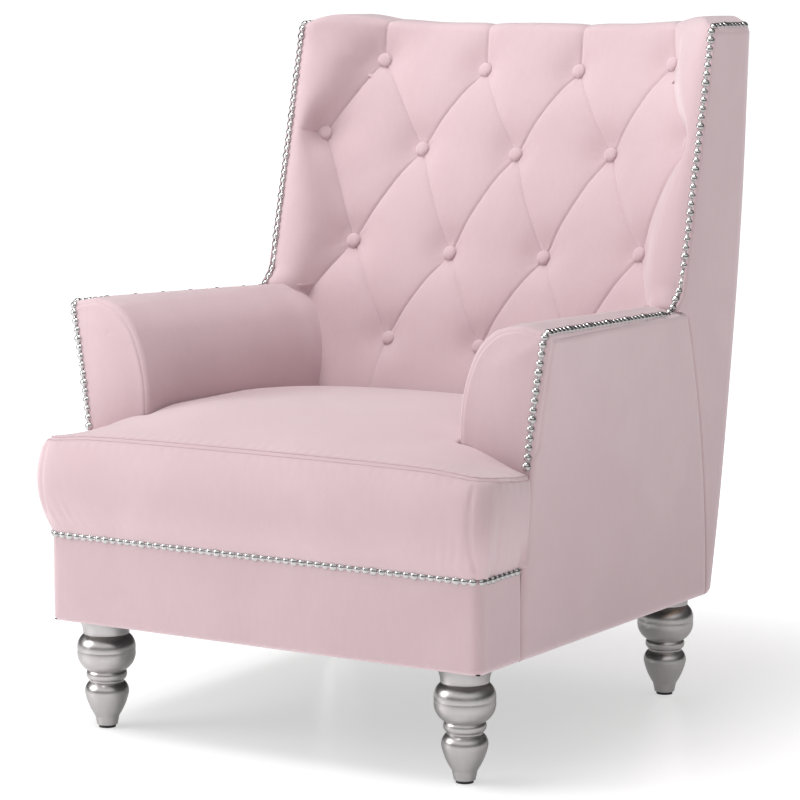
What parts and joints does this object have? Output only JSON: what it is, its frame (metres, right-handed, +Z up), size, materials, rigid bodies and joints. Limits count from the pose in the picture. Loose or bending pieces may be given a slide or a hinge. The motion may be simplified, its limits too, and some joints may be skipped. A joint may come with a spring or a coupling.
{
  "type": "upholstered armchair",
  "caption": "Wing armchair with a tight T-shaped seat, buttoned back, flared arms, nail-head trim and turned ball legs.",
  "frame": {"origin": "on the floor at the centre of the chair's overall width and depth", "axes": "+Z up; the chair faces -Y; +X is the sitter's left"},
  "size_m": [0.752, 0.798, 0.958],
  "materials": {
    "velvet": "pale pink velvet with a soft sheen",
    "foam": "upholstery foam",
    "webbing": "woven elastic webbing and deck cloth",
    "cambric": "thin black dust cloth",
    "timber": "bare sawn hardwood and plywood",
    "fibreboard": "bare fibreboard",
    "leg_silver": "satin silver paint on turned hardwood",
    "glide_plastic": "black nylon",
    "nail_chrome": "polished domed nail heads",
    "spring_steel": "oiled spring wire",
    "zinc_steel": "zinc plated"
  },
  "bodies": {
    "root": {"arm_front_panel_left": "velvet", "arm_front_panel_right": "velvet", "arm_liner_left": "fibreboard", "arm_liner_right": "fibreboard", "arm_pad_left": "velvet", "arm_pad_right": "velvet", "arm_rail_left": "timber", "arm_rail_right": "timber", "arm_stump_left": "timber", "arm_stump_right": "timber", "back_buttons": "velvet", "back_lumbar_rail": "timber", "back_post_left": "timber", "back_post_right": "timber", "back_top_rail": "timber", "back_webbing": "webbing", "base_front_panel": "velvet", "corner_block_front_left": "timber", "corner_block_front_right": "timber", "corner_block_rear_left": "timber", "corner_block_rear_right": "timber", "dust_cover": "cambric", "front_rail": "timber", "hanger_bolts": "zinc_steel", "inside_back_pad": "velvet", "leg_front_left": "leg_silver", "leg_front_right": "leg_silver", "leg_glides": "glide_plastic", "leg_rear_left": "leg_silver", "leg_rear_right": "leg_silver", "nail_trim_front": "nail_chrome", "nail_trim_left": "nail_chrome", "nail_trim_right": "nail_chrome", "outside_arm_panel_left": "velvet", "outside_arm_panel_right": "velvet", "outside_back_panel": "velvet", "outside_wing_panel_left": "velvet", "outside_wing_panel_right": "velvet", "rear_rail": "timber", "seat_cover": "velvet", "seat_deck_cloth": "webbing", "seat_foam": "foam", "seat_springs": "spring_steel", "side_rail_left": "timber", "side_rail_right": "timber", "spring_clips": "spring_steel", "tee_nuts": "zinc_steel", "top_edge_roll": "velvet", "wing_board_left": "timber", "wing_board_right": "timber"}
  },
  "joints": []
}
